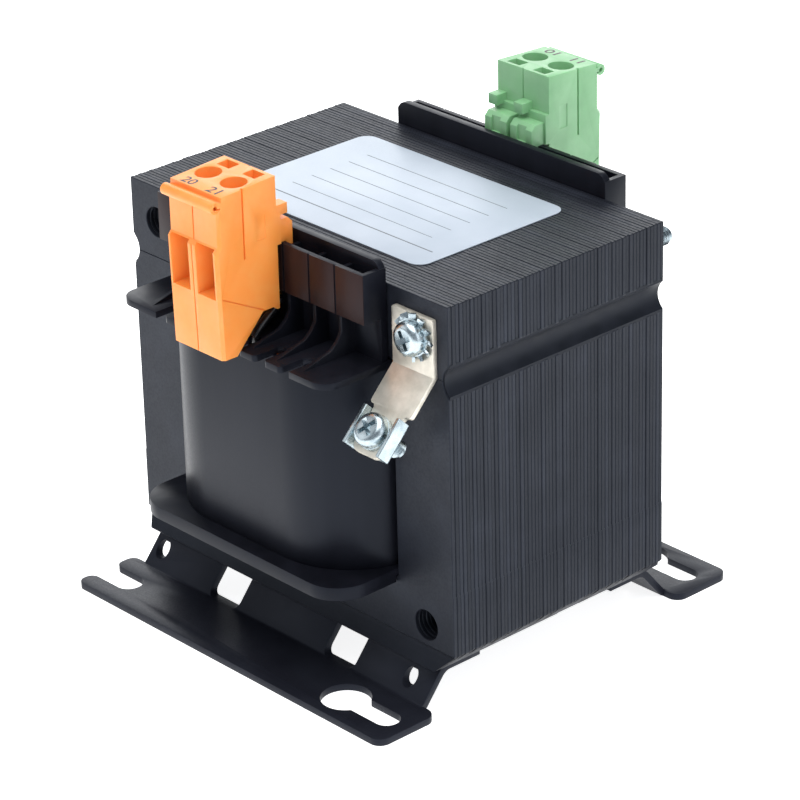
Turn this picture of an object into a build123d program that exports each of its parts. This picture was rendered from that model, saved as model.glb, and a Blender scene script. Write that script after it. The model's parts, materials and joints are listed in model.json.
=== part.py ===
from build123d import *
import os
from math import atan2, cos, degrees, hypot, radians, sin

# Chassis transformer on an EI 96 core with plug-in screw terminals, in millimetres.
# X runs along the core's width, Y through the stack to the back, Z up.
# The origin is on the floor, in the middle between the two feet.

# Core: E and I sheets stacked along Y
CORE_WIDTH = 96.0
CORE_HEIGHT = 80.0
STACK_DEPTH = 59.7
YOKE_HEIGHT = 16.0
OUTER_LEG_WIDTH = 16.0
CENTRE_LEG_WIDTH = 32.0
CORE_CHAMFER = 3.5
HOLE_INSET = 8.0
HOLE_RADIUS = 3.3
SHEET_GROUP_PITCH = 3.0
SHEET_GAP = 0.34
SHEET_GAP_DEPTHS = (0.32, 0.5, 0.38, 0.44)
WELD_GROOVE_HEIGHT = 6.0
WELD_GROOVE_DEPTH = 1.4
WELD_GROOVE_FLOOR = 2.4
WELD_BEAD_THICKNESS = 0.5

# Feet: one folded sheet in front and its mirror image behind
FOOT_SHEET = 1.5
CORE_LIFT = 8.7
FOOT_REACH = 20.6
FOOT_BEND_REACH = 4.95
FOOT_BEND_RADIUS = 2.5
FOOT_CORNER_RADIUS = 2.6
FOOT_TAB_LENGTH = 11.0
WEB_LEFT_INSET = 4.0
WEB_RIGHT_INSET = 4.2
WEB_WINDOW_WIDTH = 9.4
WEB_WINDOW_X = 18.2
WEB_WINDOW_RADIUS = 1.5
WEB_HOLE_RADIUS = 1.8
WEB_HOLE_LEFT_INSET = 7.1
WEB_HOLE_RIGHT_INSET = 10.5
WEB_HOLE_HEIGHT = 4.8
SLOT_REACH = 13.25
SLOT_WIDTH = 6.2
SLOT_LENGTH = 8.6
KEYHOLE_INSET = 18.0
KEYHOLE_RADIUS = 5.3
KEYHOLE_SLOT_WIDTH = 5.6
KEYHOLE_SLOT_INSET = 5.8
PRONG_RADIUS = 1.9

# Bobbin: one moulding with two flanges and two terminal rails
LEG_CLEARANCE = 0.3
BOBBIN_WALL = 1.5
WINDOW_CLEARANCE = 0.3
FLANGE_THICKNESS = 1.4
LOWER_FLANGE_REACH = 16.45
UPPER_FLANGE_REACH = 17.55
LOWER_CORNER_RADIUS = 8.0
UPPER_CORNER_RADIUS = 4.0
SKIRT_DROP = 1.5
SKIRT_WALL = 1.3
RAIL_GAP = 0.35
RAIL_WALL = 1.6
RAIL_CHANNEL = 3.3
RAIL_STRIP = 1.2
RAIL_OVERHANG = 4.9
STRIP_DROP = 1.5
STRIP_HEIGHT = 10.4
RAIL_END_WALL = 1.1
RAIL_CORNER_RADIUS = 2.4
RIB_THICKNESS = 0.9
RIB_TOP_DROP = 1.0
RIB_KNEE_HEIGHT = 2.9
RIB_KNEE_REACH = 3.0
RIB_TOE_INSET = 1.6
RIB_KNEE_CUT = 1.2
STRIP_LINE_WIDTH = 0.5
STRIP_LINE_DEPTH = 0.25
NOTCH_WIDTH = 2.6
NOTCH_OFFSET = 0.8
NOTCH_COVER = 2.0
NOTCH_CHAMFER = 0.8
LOBE_RADIUS = 1.0

# Terminals sit on the rail at one pitch
POLE_PITCH = 7.62
POLES = 2

# Windings around the centre leg
PRIMARY_BUILD_X = 6.2
PRIMARY_BUILD_Y = 5.2
FOIL_THICKNESS = 0.4
COVER_THICKNESS = 0.9
COIL_SIDE_GAP = 1.0
COIL_REACH = 12.75
COIL_CORNER_RADIUS = 19.0
BOBBIN_CORNER_RADIUS = 1.8

# Rating label on the top
LABEL_LENGTH = 60.0
LABEL_WIDTH = 40.8
LABEL_THICKNESS = 0.2
LABEL_CORNER_RADIUS = 3.0

# Terminal housing: outline sizes seen from its side
HOUSING_TOP = 14.7
HOUSING_TOP_SLOPE = 0.7
HOUSING_BACK_GAP = 1.2
HOUSING_LID_DEPTH = 15.0
HOUSING_LID_DROP = 1.7
HOUSING_LEDGE_DROP = 2.2
HOUSING_FRONT_DEPTH = 16.0
HOUSING_SHOULDER_DROP = 11.1
HOUSING_NOSE_DEPTH = 16.8
HOUSING_NOSE_DROP = 12.0
HOUSING_CHIN_DEPTH = 16.2
HOUSING_SOLE_DEPTH = 12.6
HOUSING_TOTAL_HEIGHT = 35.0
HOUSING_BELLY_DROP = 27.5
HOUSING_BELLY_DEPTH = 5.5
HOUSING_HEEL_STEP = 0.7
HOUSING_EDGE_CHAMFER = 0.6
ROLL_DEPTH = 16.5
ROLL_DROP = 2.45
ROLL_RADIUS = 1.2
ROLL_BORE_RADIUS = 0.5
SCREW_HOLE_RADIUS = 2.75
SCREW_HOLE_BACK = 8.5
SCREW_SEAT_DROP = 9.9
SCREW_NECK_RADIUS = 1.75
TEST_HOLE_X = 3.7
TEST_HOLE_Y = 2.8
TEST_HOLE_BACK = 3.4
TEST_HOLE_DEPTH = 10.0
CHAMBER_SIDE_WALL = 1.11
CHAMBER_TOP_DROP = 11.4
CHAMBER_HEIGHT = 10.8
CHAMBER_BACK = 3.9
SIDE_SLIT_WIDTH = 0.45
SIDE_SLIT_DEPTH = 0.5
SIDE_SLIT_HEIGHT = 15.2
SIDE_SLIT_BACK = 9.7
SIDE_RIDGE_WIDTH = 0.8
SIDE_RIDGE_HEIGHT = 0.5
SIDE_PANEL_BACK = 4.2
SIDE_PANEL_WIDTH = 2.3
SIDE_PANEL_DROP = 7.2
SIDE_PANEL_HEIGHT = 5.1
SIDE_PANEL_DEPTH = 0.15
POLE_LINE_DEPTH = 0.25
POLE_LINE_WIDTH = 0.35
SEAM_LINE_WIDTH = 0.3
SEAM_LINE_DEPTH = 0.25
SEAM_LINE_INSET = 1.1
SEAM_LINE_LIFT = 0.3
CLIP_PLATE_DROP = 8.2
CLIP_PLATE_GAP = 0.2
CLIP_HEIGHT = 4.8
CLIP_REACH = 3.3
CLIP_SIDE_GAP = 0.61
CLIP_TOP_CUT = 1.1
CLIP_PANEL_WIDTH = 2.6
CLIP_PANEL_DEPTH = 0.5
CLIP_PANEL_RAISE = 0.8
TONGUE_THICKNESS = 1.7
TONGUE_LENGTH = 6.5
LUG_WIDTH = 2.5
LUG_HEIGHT = 2.2
LUG_REACH = 1.8
LUG_RAISE = 1.2
LUG_INSET = 0.2

# Clamp, contact and leads in each terminal
CAGE_WALL = 0.7
CAGE_PLATE = 1.1
CAGE_LENGTH = 5.6
CAGE_CLEARANCE = 0.1
CONTACT_THICKNESS = 0.8
CONTACT_CLEARANCE = 0.1
CONTACT_RADIUS = 0.5
PIN_WIDTH = 1.2
PIN_REACH = 2.2
PIN_DROP = 26.5
CLAMP_SHAFT_RADIUS = 1.5
CLAMP_HEAD_RADIUS = 2.6
CLAMP_HEAD_HEIGHT = 1.9
CLAMP_SLOT_WIDTH = 0.7
CLAMP_SLOT_DEPTH = 1.0
LEAD_RADIUS = 1.0
LEAD_SIDES = 8
LEAD_BEND_CUT = 0.8
LEAD_GAP = 0.1
LEAD_RISE = 1.4

# Earth strap on the front face and its fasteners
STRAP_THICKNESS = 1.1
STRAP_WIDTH = 11.6
STRAP_HOLE_OFFSET = 1.0
STRAP_TOP_DROP = 3.4
STRAP_KNEE_DROP = 16.0
STRAP_KNEE_RADIUS = 1.2
STRAP_ARM_LENGTH = 19.4
STRAP_ARM_ANGLE = 46.0
STRAP_NECK_WIDTH = 8.4
STRAP_NECK_START = 9.5
STRAP_TIP_RADIUS = 2.0
STRAP_TOP_RADIUS = 0.6
M4_RADIUS = 2.0
M4_HOLE_RADIUS = 2.2
PAN_HEAD_RADIUS = 3.6
PAN_HEAD_HEIGHT = 2.4
PAN_EDGE_HEIGHT = 0.9
PAN_CROWN_RADIUS = 3.0
PAN_CROWN_HEIGHT = 1.8
PAN_TOP_RADIUS = 1.9
CROSS_WIDTH = 0.9
CROSS_LENGTH = 3.9
CROSS_DEPTH = 1.4
WASHER_OUTER_RADIUS = 5.0
WASHER_ROOT_RADIUS = 3.9
WASHER_THICKNESS = 0.6
WASHER_TEETH = 12
WASHER_TOOTH_WIDTH = 1.5
WASHER_TOOTH_TWIST = 40.0
EARTH_SCREW_TIP_REACH = 9.45
TIP_CHAMFER = 0.5
NUT_ACROSS_FLATS = 7.0
NUT_THICKNESS = 3.2
CLAMP_PLATE_THICKNESS = 0.9
CLAMP_PLATE_LENGTH = 8.6
CLAMP_PLATE_CENTRE = 14.8
CLAMP_FLANGE_RISE = 1.9
CLAMP_GAP = 0.1
CLAMP_SCREW_REACH = 8.4
SPRING_WASHER_RADIUS = 3.7
SPRING_WASHER_THICKNESS = 1.1
SPRING_WASHER_SPLIT = 0.8

# Levels and places worked out from the sizes above
core_top = CORE_LIFT + CORE_HEIGHT
joint_level = core_top - YOKE_HEIGHT
window_bottom = CORE_LIFT + YOKE_HEIGHT
half_stack = STACK_DEPTH / 2
half_core = CORE_WIDTH / 2
window_outer_x = half_core - OUTER_LEG_WIDTH
hole_x = half_core - HOLE_INSET
strap_x = hole_x - STRAP_HOLE_OFFSET
strap_knee = core_top - STRAP_KNEE_DROP

foot_reach = half_stack + FOOT_REACH
foot_bend_y = half_stack + FOOT_BEND_REACH
slot_y = half_stack + SLOT_REACH
slot_end_x = half_core - SLOT_LENGTH
keyhole_x = half_core - KEYHOLE_INSET
keyhole_slot_end_x = half_core - KEYHOLE_SLOT_INSET

flange_half_width = window_outer_x - WINDOW_CLEARANCE
lower_flange_bottom = window_bottom + WINDOW_CLEARANCE
coil_bottom = lower_flange_bottom + FLANGE_THICKNESS
upper_flange_top = joint_level - WINDOW_CLEARANCE
coil_top = upper_flange_top - FLANGE_THICKNESS
lower_flange_reach = half_stack + LOWER_FLANGE_REACH
upper_flange_reach = half_stack + UPPER_FLANGE_REACH
coil_reach = half_stack + COIL_REACH
notch_inner = coil_reach - NOTCH_COVER
rail_poles = 2 * int(flange_half_width / POLE_PITCH)
notch_pairs = int((flange_half_width - UPPER_CORNER_RADIUS - NOTCH_WIDTH) / POLE_PITCH + 0.5)

rail_half_length = rail_poles * POLE_PITCH / 2 + RAIL_END_WALL / 2
rail_inner_y = half_stack + RAIL_GAP
channel_inner_y = rail_inner_y + RAIL_WALL
channel_outer_y = channel_inner_y + RAIL_CHANNEL
rail_outer_y = channel_outer_y + RAIL_STRIP
rail_top = core_top + RAIL_OVERHANG
strip_top = rail_top - STRIP_DROP
strip_bottom = strip_top - STRIP_HEIGHT
pole_x = [POLE_PITCH * (n - (POLES - 1) / 2) for n in range(POLES)]
clip_width = POLE_PITCH - 2 * CLIP_SIDE_GAP
chamber_width = POLE_PITCH - 2 * CHAMBER_SIDE_WALL

housing_top = strip_top + HOUSING_TOP
housing_bottom = housing_top - HOUSING_TOTAL_HEIGHT
chamber_top = housing_top - CHAMBER_TOP_DROP
chamber_bottom = chamber_top - CHAMBER_HEIGHT
screw_seat = housing_top - SCREW_SEAT_DROP
cage_top = chamber_top - CAGE_CLEARANCE
contact_top = cage_top - CAGE_PLATE - CAGE_CLEARANCE
pin_level = housing_top - PIN_DROP
twist = radians(WASHER_TOOTH_TWIST)
tooth_height = WASHER_TOOTH_WIDTH * sin(twist) + WASHER_THICKNESS * cos(twist)
washer_lift = (tooth_height - WASHER_THICKNESS) / 2


def box_between(low, high):
    """A box from one corner to the opposite one."""
    size = [b - a for a, b in zip(low, high)]
    middle = [(a + b) / 2 for a, b in zip(low, high)]
    return Pos(*middle) * Box(*size)


def slab_across_x(points, x_low, x_high):
    """A closed outline of (y, z) points, extruded along X."""
    outline = make_face(Polyline(*points, close=True))
    return Pos(x_low, 0, 0) * extrude(Plane.YZ * outline, x_high - x_low)


def cylinder_along_y(x, z, radius, y_low, y_high):
    return Pos(x, (y_low + y_high) / 2, z) * Rot(90, 0, 0) * Cylinder(radius, y_high - y_low)


def cylinder_along_x(y, z, radius, x_low, x_high):
    return Pos((x_low + x_high) / 2, y, z) * Rot(0, 90, 0) * Cylinder(radius, x_high - x_low)


def cylinder_up(x, y, radius, z_low, z_high):
    return Pos(x, y, (z_low + z_high) / 2) * Cylinder(radius, z_high - z_low)


def rounded_column(width, depth, radius, z_low, z_high):
    return Pos(0, 0, z_low) * extrude(RectangleRounded(width, depth, radius), z_high - z_low)


def turned_to_back(part):
    """The same piece on the rear rail."""
    return Rot(0, 0, 180) * part


def core_outline(inset):
    """The whole sheet's outside, with its two cut lower corners."""
    half = half_core - inset
    low, high = CORE_LIFT + inset, core_top - inset
    points = [
        (-half + CORE_CHAMFER, low),
        (half - CORE_CHAMFER, low),
        (half, low + CORE_CHAMFER),
        (half, high),
        (-half, high),
        (-half, low + CORE_CHAMFER),
    ]
    return Plane.XZ * make_face(Polyline(*points, close=True))


def sheet_gap_cutters():
    """Rings that open a fine gap between the groups of sheets, all round the core."""
    margin = 2 * max(SHEET_GAP_DEPTHS)
    rings = []
    for depth in SHEET_GAP_DEPTHS:
        ring = core_outline(-margin) - core_outline(depth)
        rings.append(extrude(ring, SHEET_GAP / 2, both=True))
    count = int((STACK_DEPTH - SHEET_GROUP_PITCH) / SHEET_GROUP_PITCH)
    start = -SHEET_GROUP_PITCH * (count - 1) / 2
    cutters = []
    for n in range(count):
        ring = rings[n % len(rings)]
        cutters.append(Pos(0, start + n * SHEET_GROUP_PITCH, 0) * ring)
    return cutters


def weld_groove(side, extra_depth):
    """Flared groove along the joint between the E and I sheets."""
    mouth, floor = WELD_GROOVE_HEIGHT / 2, WELD_GROOVE_FLOOR / 2
    face_x = side * half_core
    floor_x = side * (half_core - WELD_GROOVE_DEPTH - extra_depth)
    points = [
        (face_x, joint_level - mouth),
        (face_x, joint_level + mouth),
        (floor_x, joint_level + floor),
        (floor_x, joint_level - floor),
    ]
    outline = Plane.XZ * make_face(Polyline(*points, close=True))
    return extrude(outline, half_stack, both=True)


def core_holes():
    holes = []
    for side in (-1, 1):
        for z in (CORE_LIFT + HOLE_INSET, core_top - HOLE_INSET):
            holes.append(cylinder_along_y(side * hole_x, z, HOLE_RADIUS, -half_stack, half_stack))
    return holes


def laminations():
    """The E stack below and the I stack above, cut from one block."""
    block = extrude(core_outline(0), half_stack, both=True)
    block -= sheet_gap_cutters()
    block -= [weld_groove(side, WELD_BEAD_THICKNESS) for side in (-1, 1)]
    block -= core_holes()
    for side in (-1, 1):
        inner = side * CENTRE_LEG_WIDTH / 2
        outer = side * window_outer_x
        low = (min(inner, outer), -half_stack, window_bottom)
        high = (max(inner, outer), half_stack, joint_level)
        block -= box_between(low, high)
    above = box_between((-half_core, -half_stack, joint_level), (half_core, half_stack, core_top))
    below = box_between((-half_core, -half_stack, CORE_LIFT), (half_core, half_stack, joint_level))
    return block & below, block & above


def weld_seams():
    """A bead that lines each groove."""
    beads = []
    for side in (-1, 1):
        bead = weld_groove(side, WELD_BEAD_THICKNESS) - weld_groove(side, 0)
        beads.append(bead.solid())
    return Compound(children=beads)


def sheet_profile(points, thickness, bend_radius):
    """The edge view of a folded sheet, from (y, z) points along one of its faces."""
    path = FilletPolyline(*points, radius=bend_radius)
    return make_face(path.offset_2d(thickness, side=Side.LEFT, closed=True))


def foot_web():
    """Folded part: a strip of the foot, the sloping web and the tab under the core."""
    lean = (foot_bend_y - half_stack) / (CORE_LIFT - FOOT_SHEET)
    points = [
        (-foot_bend_y - 2 * FOOT_SHEET, 0),
        (-foot_bend_y + FOOT_SHEET * (1 - lean), 0),
        (-half_stack + FOOT_SHEET, CORE_LIFT - FOOT_SHEET),
        (-half_stack + FOOT_TAB_LENGTH, CORE_LIFT - FOOT_SHEET),
    ]
    profile = Plane.YZ * sheet_profile(points, FOOT_SHEET, FOOT_BEND_RADIUS)
    web_length = CORE_WIDTH - WEB_LEFT_INSET - WEB_RIGHT_INSET
    web = Pos(-half_core + WEB_LEFT_INSET, 0, 0) * extrude(profile, web_length)
    window_height = CORE_LIFT - FOOT_SHEET
    opening = RectangleRounded(WEB_WINDOW_WIDTH, window_height, WEB_WINDOW_RADIUS)
    for side in (-1, 1):
        face = Plane.XZ * Pos(side * WEB_WINDOW_X, FOOT_SHEET + window_height / 2) * opening
        web -= Pos(0, -half_stack + FOOT_SHEET, 0) * extrude(face, FOOT_REACH)
    for x in (-half_core + WEB_HOLE_LEFT_INSET, half_core - WEB_HOLE_RIGHT_INSET):
        web -= cylinder_along_y(x, WEB_HOLE_HEIGHT, WEB_HOLE_RADIUS, -foot_reach, -half_stack)
    return web


def foot_plate():
    """Flat part on the floor, with an open slot at one end and a keyhole at the other."""
    middle_y = -(foot_reach + foot_bend_y) / 2
    plate = Pos(0, middle_y) * Rectangle(CORE_WIDTH, foot_reach - foot_bend_y)
    slot_length = SLOT_LENGTH + PRONG_RADIUS
    slot = Pos(-slot_end_x - slot_length / 2, -slot_y) * Rectangle(slot_length, SLOT_WIDTH)
    plate = plate - slot - Pos(-slot_end_x, -slot_y) * Circle(SLOT_WIDTH / 2)
    keyhole_slot = SlotCenterToCenter(keyhole_slot_end_x - keyhole_x, KEYHOLE_SLOT_WIDTH)
    plate -= Pos((keyhole_x + keyhole_slot_end_x) / 2, -slot_y) * keyhole_slot
    plate -= Pos(keyhole_x, -slot_y) * Circle(KEYHOLE_RADIUS)
    tips = plate.vertices().filter_by(lambda v: v.X < -half_core + 0.01)
    plate = fillet(tips, PRONG_RADIUS)
    corners = plate.vertices().filter_by(lambda v: v.X > half_core - 0.01)
    plate = fillet(corners, FOOT_CORNER_RADIUS)
    return extrude(plate, FOOT_SHEET)


def front_foot():
    return foot_plate() + foot_web()


def flange_notch():
    """Outline of one notch in the front edge, open to the front."""
    half = NOTCH_WIDTH / 2
    mouth = upper_flange_reach + NOTCH_WIDTH
    points = [
        (-half, -mouth),
        (half, -mouth),
        (half, -notch_inner - NOTCH_CHAMFER),
        (half - NOTCH_CHAMFER, -notch_inner),
        (-half + NOTCH_CHAMFER, -notch_inner),
        (-half, -notch_inner - NOTCH_CHAMFER),
    ]
    return make_face(Polyline(*points, close=True))


def upper_flange():
    """Flange under the rails; its front and back edges are notched for the winding ends."""
    face = RectangleRounded(2 * flange_half_width, 2 * upper_flange_reach, UPPER_CORNER_RADIUS)
    for n in range(-notch_pairs, notch_pairs):
        notch = Pos(POLE_PITCH * (n + 0.5) + NOTCH_OFFSET, 0) * flange_notch()
        face = face - notch - Rot(0, 0, 180) * notch
    rim = face.vertices().filter_by(lambda v: abs(abs(v.Y) - upper_flange_reach) < 0.01)
    inner_notch_x = POLE_PITCH * (notch_pairs - 0.5)
    face = fillet(rim.filter_by(lambda v: abs(v.X) < inner_notch_x), LOBE_RADIUS)
    return Pos(0, 0, coil_top) * extrude(face, FLANGE_THICKNESS)


def lower_flange():
    """Plain flange with a skirt that hangs in front of the lower yoke."""
    outline = RectangleRounded(2 * flange_half_width, 2 * lower_flange_reach, LOWER_CORNER_RADIUS)
    plate = Pos(0, 0, lower_flange_bottom) * extrude(outline, FLANGE_THICKNESS)
    inner = RectangleRounded(
        2 * (flange_half_width - SKIRT_WALL),
        2 * (lower_flange_reach - SKIRT_WALL),
        LOWER_CORNER_RADIUS - SKIRT_WALL,
    )
    skirt = Pos(0, 0, lower_flange_bottom - SKIRT_DROP) * extrude(outline - inner, SKIRT_DROP)
    skirt -= Box(CORE_WIDTH, 2 * rail_inner_y, 2 * core_top)
    return plate + skirt


def rail_rib(n):
    """Web between two terminals: upright in the channel, then a knee down to the flange."""
    knee_y = -(channel_outer_y + RIB_KNEE_REACH)
    toe_y = -(upper_flange_reach - RIB_TOE_INSET)
    foot = upper_flange_top - FLANGE_THICKNESS / 2
    points = [
        (-channel_inner_y + RAIL_WALL / 2, foot),
        (-channel_inner_y + RAIL_WALL / 2, strip_top - RIB_TOP_DROP),
        (-channel_outer_y - RAIL_STRIP / 2, strip_top - RIB_TOP_DROP),
        (-channel_outer_y - RAIL_STRIP / 2, strip_bottom),
        (-channel_outer_y, strip_bottom),
        (-channel_outer_y, upper_flange_top + RIB_KNEE_HEIGHT + 1 + RIB_KNEE_CUT),
        (-channel_outer_y - RIB_KNEE_CUT, upper_flange_top + RIB_KNEE_HEIGHT + 1 - RIB_KNEE_CUT / 2),
        (knee_y, upper_flange_top + RIB_KNEE_HEIGHT - 1),
        (toe_y, upper_flange_top),
        (toe_y, foot),
    ]
    outline = make_face(Polyline(*points, close=True))
    rib = extrude(Plane.YZ * outline, RIB_THICKNESS / 2, both=True)
    return Pos(n * POLE_PITCH, 0, 0) * rib


def front_rail():
    """Wall in front of the upper yoke, with the strip, end walls and ribs that carry terminals."""
    wall_height = rail_top - coil_top
    wall = Plane.XZ * Pos(0, coil_top + wall_height / 2) * Rectangle(2 * rail_half_length, wall_height)
    top = wall.vertices().filter_by(lambda v: v.Z > rail_top - 0.01)
    wall = fillet(top, RAIL_CORNER_RADIUS)
    rail = Pos(0, -rail_inner_y, 0) * extrude(wall, RAIL_WALL)
    rail += box_between(
        (-rail_half_length, -rail_outer_y, strip_bottom), (rail_half_length, -channel_outer_y, strip_top)
    )
    for side in (-1, 1):
        outer = side * rail_half_length
        inner = side * (rail_half_length - RAIL_END_WALL)
        rail += box_between(
            (min(outer, inner), -rail_outer_y, strip_bottom), (max(outer, inner), -rail_inner_y, strip_top)
        )
    last = rail_poles // 2 - 1
    rail += [rail_rib(n) for n in range(-last, last + 1)]
    for n in range(-last, last + 1):
        x = n * POLE_PITCH
        rail -= box_between(
            (x - STRIP_LINE_WIDTH / 2, -rail_outer_y, strip_bottom),
            (x + STRIP_LINE_WIDTH / 2, -rail_outer_y + STRIP_LINE_DEPTH, strip_top),
        )
    return rail


def bobbin():
    """Tube on the centre leg, two flanges and a rail for terminals at the front and the back."""
    bore_x = CENTRE_LEG_WIDTH + 2 * LEG_CLEARANCE
    bore_y = STACK_DEPTH + 2 * LEG_CLEARANCE
    tube = rounded_column(
        bore_x + 2 * BOBBIN_WALL,
        bore_y + 2 * BOBBIN_WALL,
        BOBBIN_CORNER_RADIUS,
        lower_flange_bottom,
        upper_flange_top,
    )
    rail = front_rail()
    body = tube + lower_flange() + upper_flange() + rail + turned_to_back(rail)
    return body - box_between(
        (-bore_x / 2, -bore_y / 2, CORE_LIFT), (bore_x / 2, bore_y / 2, core_top)
    )


def coil_layers():
    """Nested layers from the bobbin tube outwards: two windings, a foil between them and a cover."""
    tube_x = CENTRE_LEG_WIDTH + 2 * (LEG_CLEARANCE + BOBBIN_WALL)
    tube_y = STACK_DEPTH + 2 * (LEG_CLEARANCE + BOBBIN_WALL)
    primary_x = tube_x + 2 * PRIMARY_BUILD_X
    primary_y = tube_y + 2 * PRIMARY_BUILD_Y
    foil_x = primary_x + 2 * FOIL_THICKNESS
    foil_y = primary_y + 2 * FOIL_THICKNESS
    cover_x = 2 * (window_outer_x - COIL_SIDE_GAP)
    cover_y = 2 * coil_reach
    secondary_x = cover_x - 2 * COVER_THICKNESS
    secondary_y = cover_y - 2 * COVER_THICKNESS
    primary_radius = BOBBIN_CORNER_RADIUS + PRIMARY_BUILD_Y
    sections = [
        (tube_x, tube_y, BOBBIN_CORNER_RADIUS),
        (primary_x, primary_y, primary_radius),
        (foil_x, foil_y, primary_radius + FOIL_THICKNESS),
        (secondary_x, secondary_y, COIL_CORNER_RADIUS - COVER_THICKNESS),
        (cover_x, cover_y, COIL_CORNER_RADIUS),
    ]
    layers = []
    for inner, outer in zip(sections, sections[1:]):
        column = rounded_column(*outer, coil_bottom, coil_top)
        layers.append(column - rounded_column(*inner, coil_bottom, coil_top))
    return layers


def label():
    face = RectangleRounded(LABEL_LENGTH, LABEL_WIDTH, LABEL_CORNER_RADIUS)
    return Pos(0, 0, core_top) * extrude(face, LABEL_THICKNESS)


def housing_point(depth, drop):
    """A (y, z) point of the front housing, from its back face and its top."""
    return (-rail_outer_y - depth, housing_top - drop)


def housing_shell():
    """The housing's side outline, across all its poles."""
    heel_drop = HOUSING_BELLY_DROP + HOUSING_HEEL_STEP
    points = [
        housing_point(HOUSING_BACK_GAP, 0),
        housing_point(HOUSING_LID_DEPTH, HOUSING_TOP_SLOPE),
        housing_point(HOUSING_LID_DEPTH, HOUSING_LID_DROP),
        housing_point(HOUSING_FRONT_DEPTH, HOUSING_LEDGE_DROP),
        housing_point(HOUSING_FRONT_DEPTH, HOUSING_SHOULDER_DROP),
        housing_point(HOUSING_NOSE_DEPTH, HOUSING_NOSE_DROP),
        housing_point(HOUSING_CHIN_DEPTH, HOUSING_TOTAL_HEIGHT),
        housing_point(HOUSING_SOLE_DEPTH, HOUSING_TOTAL_HEIGHT),
        housing_point(HOUSING_BELLY_DEPTH, HOUSING_BELLY_DROP),
        housing_point(HOUSING_BACK_GAP + 2 * HOUSING_HEEL_STEP, HOUSING_BELLY_DROP),
        housing_point(HOUSING_BACK_GAP + HOUSING_HEEL_STEP, heel_drop),
        housing_point(HOUSING_BACK_GAP, heel_drop),
    ]
    half_width = POLES * POLE_PITCH / 2
    shell = slab_across_x(points, -half_width, half_width)
    front_y = -rail_outer_y - (HOUSING_LID_DEPTH + HOUSING_FRONT_DEPTH) / 2
    front_edges = shell.edges().filter_by(
        lambda e: e.center().Y < front_y and abs(e.center().X) > half_width - 0.01
    )
    upper_edges = front_edges.filter_by(lambda e: e.center().Z > housing_bottom + 1)
    return chamfer(upper_edges, HOUSING_EDGE_CHAMFER)


def marker_roll():
    """Curled lip in front of the numbers, open at its ends."""
    y, z = housing_point(ROLL_DEPTH, ROLL_DROP)
    half_width = POLES * POLE_PITCH / 2
    roll = cylinder_along_x(y, z, ROLL_RADIUS, -half_width, half_width)
    bore = cylinder_along_x(y, z, ROLL_BORE_RADIUS, -half_width, half_width)
    slit = box_between(
        (-half_width, y, z - ROLL_BORE_RADIUS), (half_width, y + ROLL_RADIUS, z - ROLL_BORE_RADIUS / 2)
    )
    return roll, bore + slit


def clip_plate():
    """Thin plate on the housing's back, above the rail's strip, that carries the hooks."""
    half_width = POLES * POLE_PITCH / 2
    return box_between(
        (-half_width, -rail_outer_y - HOUSING_BACK_GAP, strip_top),
        (half_width, -rail_outer_y - CLIP_PLATE_GAP, housing_top - CLIP_PLATE_DROP),
    )


def pole_clip(x, lug_side):
    """Hook over the rail's strip with a tongue down into the channel, and a small lug above it."""
    low = strip_top
    front_y = -rail_outer_y - HOUSING_BACK_GAP
    inner_y = -rail_outer_y + CLIP_REACH
    hook = slab_across_x(
        [
            (front_y, low),
            (inner_y, low),
            (inner_y, low + CLIP_HEIGHT - CLIP_TOP_CUT),
            (inner_y - CLIP_TOP_CUT, low + CLIP_HEIGHT),
            (front_y, low + CLIP_HEIGHT),
        ],
        x - clip_width / 2,
        x + clip_width / 2,
    )
    hook -= box_between(
        (x - CLIP_PANEL_WIDTH / 2, inner_y - CLIP_PANEL_DEPTH, low + CLIP_PANEL_RAISE),
        (x + CLIP_PANEL_WIDTH / 2, inner_y, low + CLIP_HEIGHT),
    )
    tongue = box_between(
        (x - clip_width / 2, inner_y - TONGUE_THICKNESS, low - TONGUE_LENGTH),
        (x + clip_width / 2, inner_y, low),
    )
    lug_low = low + CLIP_HEIGHT + LUG_RAISE
    lug_x = x + lug_side * (POLE_PITCH / 2 - LUG_INSET - LUG_WIDTH / 2)
    lug = box_between(
        (lug_x - LUG_WIDTH / 2, front_y, lug_low),
        (lug_x + LUG_WIDTH / 2, -rail_outer_y + LUG_REACH, lug_low + LUG_HEIGHT),
    )
    return hook + tongue + lug


def pole_hollows(x):
    """What is hollow in one pole: screw shaft, test hole, wire chamber and contact slot."""
    back_y = -rail_outer_y
    screw_y = back_y - SCREW_HOLE_BACK
    test_y = back_y - TEST_HOLE_BACK
    chamber_back_y = back_y - CHAMBER_BACK
    slot_half = chamber_width / 2 - CAGE_WALL
    slot_front = chamber_back_y
    slot_back = chamber_back_y + CONTACT_THICKNESS + 2 * CONTACT_CLEARANCE
    return [
        cylinder_up(x, screw_y, SCREW_HOLE_RADIUS, screw_seat, housing_top),
        cylinder_up(x, screw_y, SCREW_NECK_RADIUS, chamber_top, screw_seat),
        box_between(
            (x - TEST_HOLE_X / 2, test_y - TEST_HOLE_Y / 2, housing_top - TEST_HOLE_DEPTH),
            (x + TEST_HOLE_X / 2, test_y + TEST_HOLE_Y / 2, housing_top),
        ),
        box_between(
            (x - chamber_width / 2, back_y - HOUSING_NOSE_DEPTH, chamber_bottom),
            (x + chamber_width / 2, chamber_back_y, chamber_top),
        ),
        box_between(
            (x - slot_half, slot_front, pin_level - CONTACT_THICKNESS - CONTACT_CLEARANCE),
            (x + slot_half, slot_back, chamber_top),
        ),
        box_between(
            (x - PIN_WIDTH, slot_front, pin_level - CONTACT_THICKNESS - CONTACT_CLEARANCE),
            (x + PIN_WIDTH, back_y, pin_level + CONTACT_CLEARANCE),
        ),
    ]


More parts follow.
